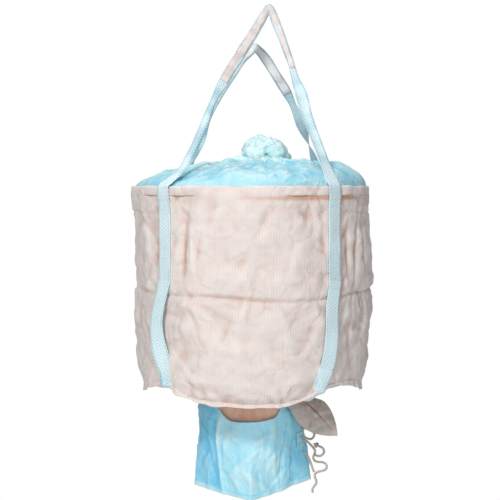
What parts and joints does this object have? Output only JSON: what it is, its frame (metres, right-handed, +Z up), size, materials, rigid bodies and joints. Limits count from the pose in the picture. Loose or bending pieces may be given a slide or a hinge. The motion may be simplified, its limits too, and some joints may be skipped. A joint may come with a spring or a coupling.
{
  "type": "bulk bag",
  "caption": "Round woven bulk bag hanging from webbing lifting loops, with a gathered skirt closure on top and an open discharge spout with tie cords below.",
  "frame": {"origin": "the inside of the front loop's crown, where a hook carries the bag; the bag hangs below it", "axes": "+Z up, +X to the bag's right, -Y towards the front, where the closing flap is on the right of the spout"},
  "size_m": [1.1238, 1.1238, 2.2737],
  "materials": {
    "woven_body": "coated woven flat yarn, fine upright ribs",
    "blue_fabric": "thin crumpled woven film, slight sheen",
    "webbing": "flat polypropylene webbing",
    "sleeve_fabric": "woven fabric folded and stitched round the webbing",
    "tie_cord": "twisted soft cord"
  },
  "bodies": {
    "bag": {"body_tube": "woven_body", "rim_hem": "woven_body", "base_panel": "woven_body", "base_seam": "woven_body", "duffle_skirt": "blue_fabric", "skirt_bundle": "blue_fabric", "neck_tie": "tie_cord", "loop_tail_front_left": "webbing", "loop_tail_front_right": "webbing", "loop_tail_rear_left": "webbing", "loop_tail_rear_right": "webbing", "belly_belt_front_left": "webbing", "belly_belt_front_right": "webbing", "belly_belt_rear_left": "webbing", "belly_belt_rear_right": "webbing", "spout_collar": "woven_body"},
    "front_loop": {"front_loop_web": "webbing", "front_loop_sleeve": "sleeve_fabric"},
    "rear_loop": {"rear_loop_web": "webbing", "rear_loop_sleeve": "sleeve_fabric"},
    "spout": {"discharge_spout": "blue_fabric", "spout_hem": "blue_fabric", "tie_tab": "tie_cord", "spout_tie_long": "tie_cord", "spout_tie_short": "tie_cord", "spout_tie_loop": "tie_cord", "spout_tie_tail": "tie_cord", "tie_knot": "tie_cord"},
    "flap": {"closing_flap": "woven_body"}
  },
  "joints": [
    {"name": "front_loop_fold", "type": "hinge", "parent": "bag", "child": "front_loop", "pos_m": [-0.085, -0.367, -0.813], "axis": [1, 0, 0], "range_deg": [0, 165]},
    {"name": "rear_loop_fold", "type": "hinge", "parent": "bag", "child": "rear_loop", "pos_m": [-0.085, 0.467, -0.813], "axis": [-1, 0, 0], "range_deg": [0, 165]},
    {"name": "spout_sway", "type": "hinge", "parent": "bag", "child": "spout", "pos_m": [-0.085, 0.05, -1.8285], "axis": [0, 1, 0], "range_deg": [-15, 15]},
    {"name": "flap_lift", "type": "hinge", "parent": "bag", "child": "flap", "pos_m": [0.1076, -0.0985, -1.7845], "axis": [-0.6159, -0.7802, -0.1095], "range_deg": [0, 22]}
  ]
}
